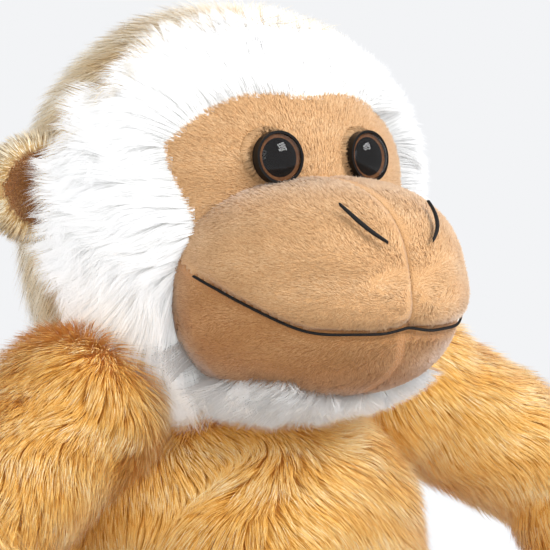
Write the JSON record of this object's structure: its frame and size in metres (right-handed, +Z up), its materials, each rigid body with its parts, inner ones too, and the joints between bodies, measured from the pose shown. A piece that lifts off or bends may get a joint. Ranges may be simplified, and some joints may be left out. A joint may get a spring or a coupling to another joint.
{
  "type": "stuffed monkey",
  "caption": "Sitting plush monkey with a big rounded muzzle, domed eyes, a white fur ruff round the face and long golden pile on body and limbs.",
  "frame": {"origin": "middle of the flat seat panel, on the surface the toy sits on", "axes": "+Z up; the toy looks along -Y; its own right-hand side is -X"},
  "size_m": [0.2358, 0.1722, 0.228],
  "materials": {
    "golden_fur": "long-pile plush",
    "white_fur": "long-pile plush",
    "tan_fur": "long-pile plush",
    "face_plush": "short-pile plush",
    "jaw_plush": "short-pile plush",
    "ear_plush": "short-pile plush",
    "hand_plush": "short-pile plush",
    "filling": "polyester fibre filling",
    "eye_clear": "clear domed plastic",
    "eye_brown": "printed layer",
    "eye_black": "moulded, polished",
    "washer_white": "moulded",
    "black_thread": "satin stitch"
  },
  "bodies": {
    "torso": {"chest_panel": "golden_fur", "back_panel_right": "golden_fur", "back_panel_left": "golden_fur", "seat_panel": "golden_fur", "torso_stuffing": "filling"},
    "neck": {"neck_sleeve": "white_fur", "neck_stuffing": "filling"},
    "head": {"face_patch": "face_plush", "face_ruff": "white_fur", "head_back_panel": "tan_fur", "head_stuffing": "filling", "muzzle_panel_right": "face_plush", "muzzle_panel_left": "face_plush", "jaw_panel": "jaw_plush", "muzzle_stuffing": "filling", "mouth_thread": "black_thread", "nostril_thread_right": "black_thread", "ear_back_right": "tan_fur", "ear_inner_right": "ear_plush", "eye_cup_right": "eye_black", "eye_iris_right": "eye_brown", "eye_pupil_right": "eye_black", "eye_dome_right": "eye_clear", "eye_washer_right": "washer_white", "nostril_thread_left": "black_thread", "ear_back_left": "tan_fur", "ear_inner_left": "ear_plush", "eye_cup_left": "eye_black", "eye_iris_left": "eye_brown", "eye_pupil_left": "eye_black", "eye_dome_left": "eye_clear", "eye_washer_left": "washer_white"},
    "upper_arm_right": {"upper_arm_sleeve_right": "golden_fur", "upper_arm_stuffing_right": "filling"},
    "forearm_right": {"forearm_sleeve_right": "golden_fur", "forearm_stuffing_right": "filling", "hand_skin_right": "hand_plush", "hand_stuffing_right": "filling"},
    "leg_right": {"leg_sleeve_right": "golden_fur", "leg_stuffing_right": "filling", "foot_sole_right": "hand_plush", "foot_upper_right": "hand_plush", "foot_stuffing_right": "filling"},
    "upper_arm_left": {"upper_arm_sleeve_left": "golden_fur", "upper_arm_stuffing_left": "filling"},
    "forearm_left": {"forearm_sleeve_left": "golden_fur", "forearm_stuffing_left": "filling", "hand_skin_left": "hand_plush", "hand_stuffing_left": "filling"},
    "leg_left": {"leg_sleeve_left": "golden_fur", "leg_stuffing_left": "filling", "foot_sole_left": "hand_plush", "foot_upper_left": "hand_plush", "foot_stuffing_left": "filling"}
  },
  "joints": [
    {"name": "neck_nod", "type": "hinge", "parent": "torso", "child": "neck", "pos_m": [0, 0.006, 0.12], "axis": [-1, 0, 0], "range_deg": [-5, 12]},
    {"name": "head_turn", "type": "hinge", "parent": "neck", "child": "head", "pos_m": [0, 0.006, 0.134], "axis": [0, 0, 1], "range_deg": [-20, 20]},
    {"name": "arm_swing_right", "type": "hinge", "parent": "torso", "child": "upper_arm_right", "pos_m": [-0.056, -0.004, 0.124], "axis": [-1, 0, 0], "range_deg": [-1, 60]},
    {"name": "elbow_bend_right", "type": "hinge", "parent": "upper_arm_right", "child": "forearm_right", "pos_m": [-0.1019, -0.01967, 0.09601], "axis": [-0.0936, -0.7954, 0.5989], "range_deg": [-25, 3]},
    {"name": "leg_swing_right", "type": "hinge", "parent": "torso", "child": "leg_right", "pos_m": [-0.041, -0.034, 0.022], "axis": [-1, 0, 0], "range_deg": [0, 30]},
    {"name": "arm_swing_left", "type": "hinge", "parent": "torso", "child": "upper_arm_left", "pos_m": [0.056, -0.004, 0.124], "axis": [-1, 0, 0], "range_deg": [-1, 60]},
    {"name": "elbow_bend_left", "type": "hinge", "parent": "upper_arm_left", "child": "forearm_left", "pos_m": [0.1019, -0.01967, 0.09601], "axis": [-0.0936, 0.7954, -0.5989], "range_deg": [-25, 3]},
    {"name": "leg_swing_left", "type": "hinge", "parent": "torso", "child": "leg_left", "pos_m": [0.041, -0.034, 0.022], "axis": [-1, 0, 0], "range_deg": [0, 30]}
  ]
}
